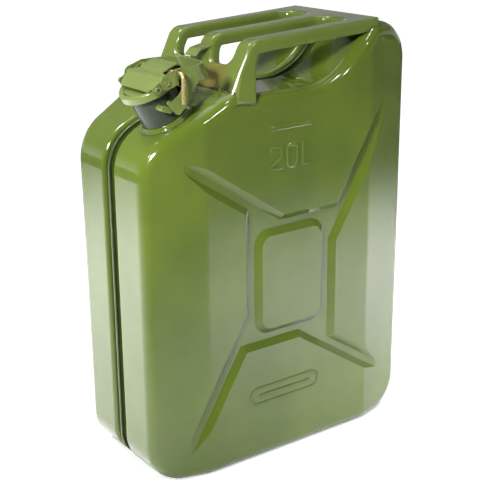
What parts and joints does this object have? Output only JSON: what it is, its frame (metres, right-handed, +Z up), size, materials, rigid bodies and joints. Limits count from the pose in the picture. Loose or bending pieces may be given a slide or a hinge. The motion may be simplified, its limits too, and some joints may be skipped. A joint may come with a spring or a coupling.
{
  "type": "jerry can",
  "caption": "Pressed-steel fuel can with crossed swages, sunken welded seam, multi-bar carrying handle, offset filler neck, gasketed swing cap, lever clamp and captive safety pin.",
  "frame": {"origin": "middle of the base, on the ground", "axes": "+X to the rear, away from the filler neck; +Y to the right big face; +Z up"},
  "size_m": [0.345, 0.1674, 0.4706],
  "materials": {
    "body_paint": "glossy olive enamel",
    "bright_steel": "zinc plated",
    "seal_rubber": "matt",
    "pin_brass": "satin"
  },
  "bodies": {
    "can": {"shell_left": "body_paint", "shell_right": "body_paint", "seam_weld": "body_paint", "handle_frame": "body_paint", "cap_catch": "body_paint", "filler_neck": "body_paint", "neck_collar": "body_paint", "neck_lugs": "body_paint", "breather_tube": "bright_steel", "breather_clip": "bright_steel", "hinge_bracket": "body_paint", "hinge_pin": "bright_steel"},
    "cap": {"cap_bridge": "body_paint", "cap_shell": "body_paint", "cap_gasket": "seal_rubber", "gasket_retainer": "bright_steel", "retainer_rivet": "bright_steel", "stop_studs": "body_paint"},
    "lever": {"lever_band": "body_paint", "lever_rivets": "body_paint"},
    "pin": {"safety_pin": "pin_brass"}
  },
  "joints": [
    {"name": "cap_swing", "type": "hinge", "parent": "can", "child": "cap", "pos_m": [-0.10034, -0.037, 0.41777], "axis": [0, 1, 0], "range_deg": [0, 72]},
    {"name": "lever_lift", "type": "hinge", "parent": "cap", "child": "lever", "pos_m": [-0.14406, -0.037, 0.43042], "axis": [0, -1, 0], "range_deg": [0, 99]},
    {"name": "pin_slide", "type": "slide", "parent": "cap", "child": "pin", "axis": [0, -1, 0], "range_m": [0, 0.078]}
  ],
  "couplings": [
    {"joint": "lever_lift", "follows": "cap_swing", "ratio": 1.375}
  ]
}
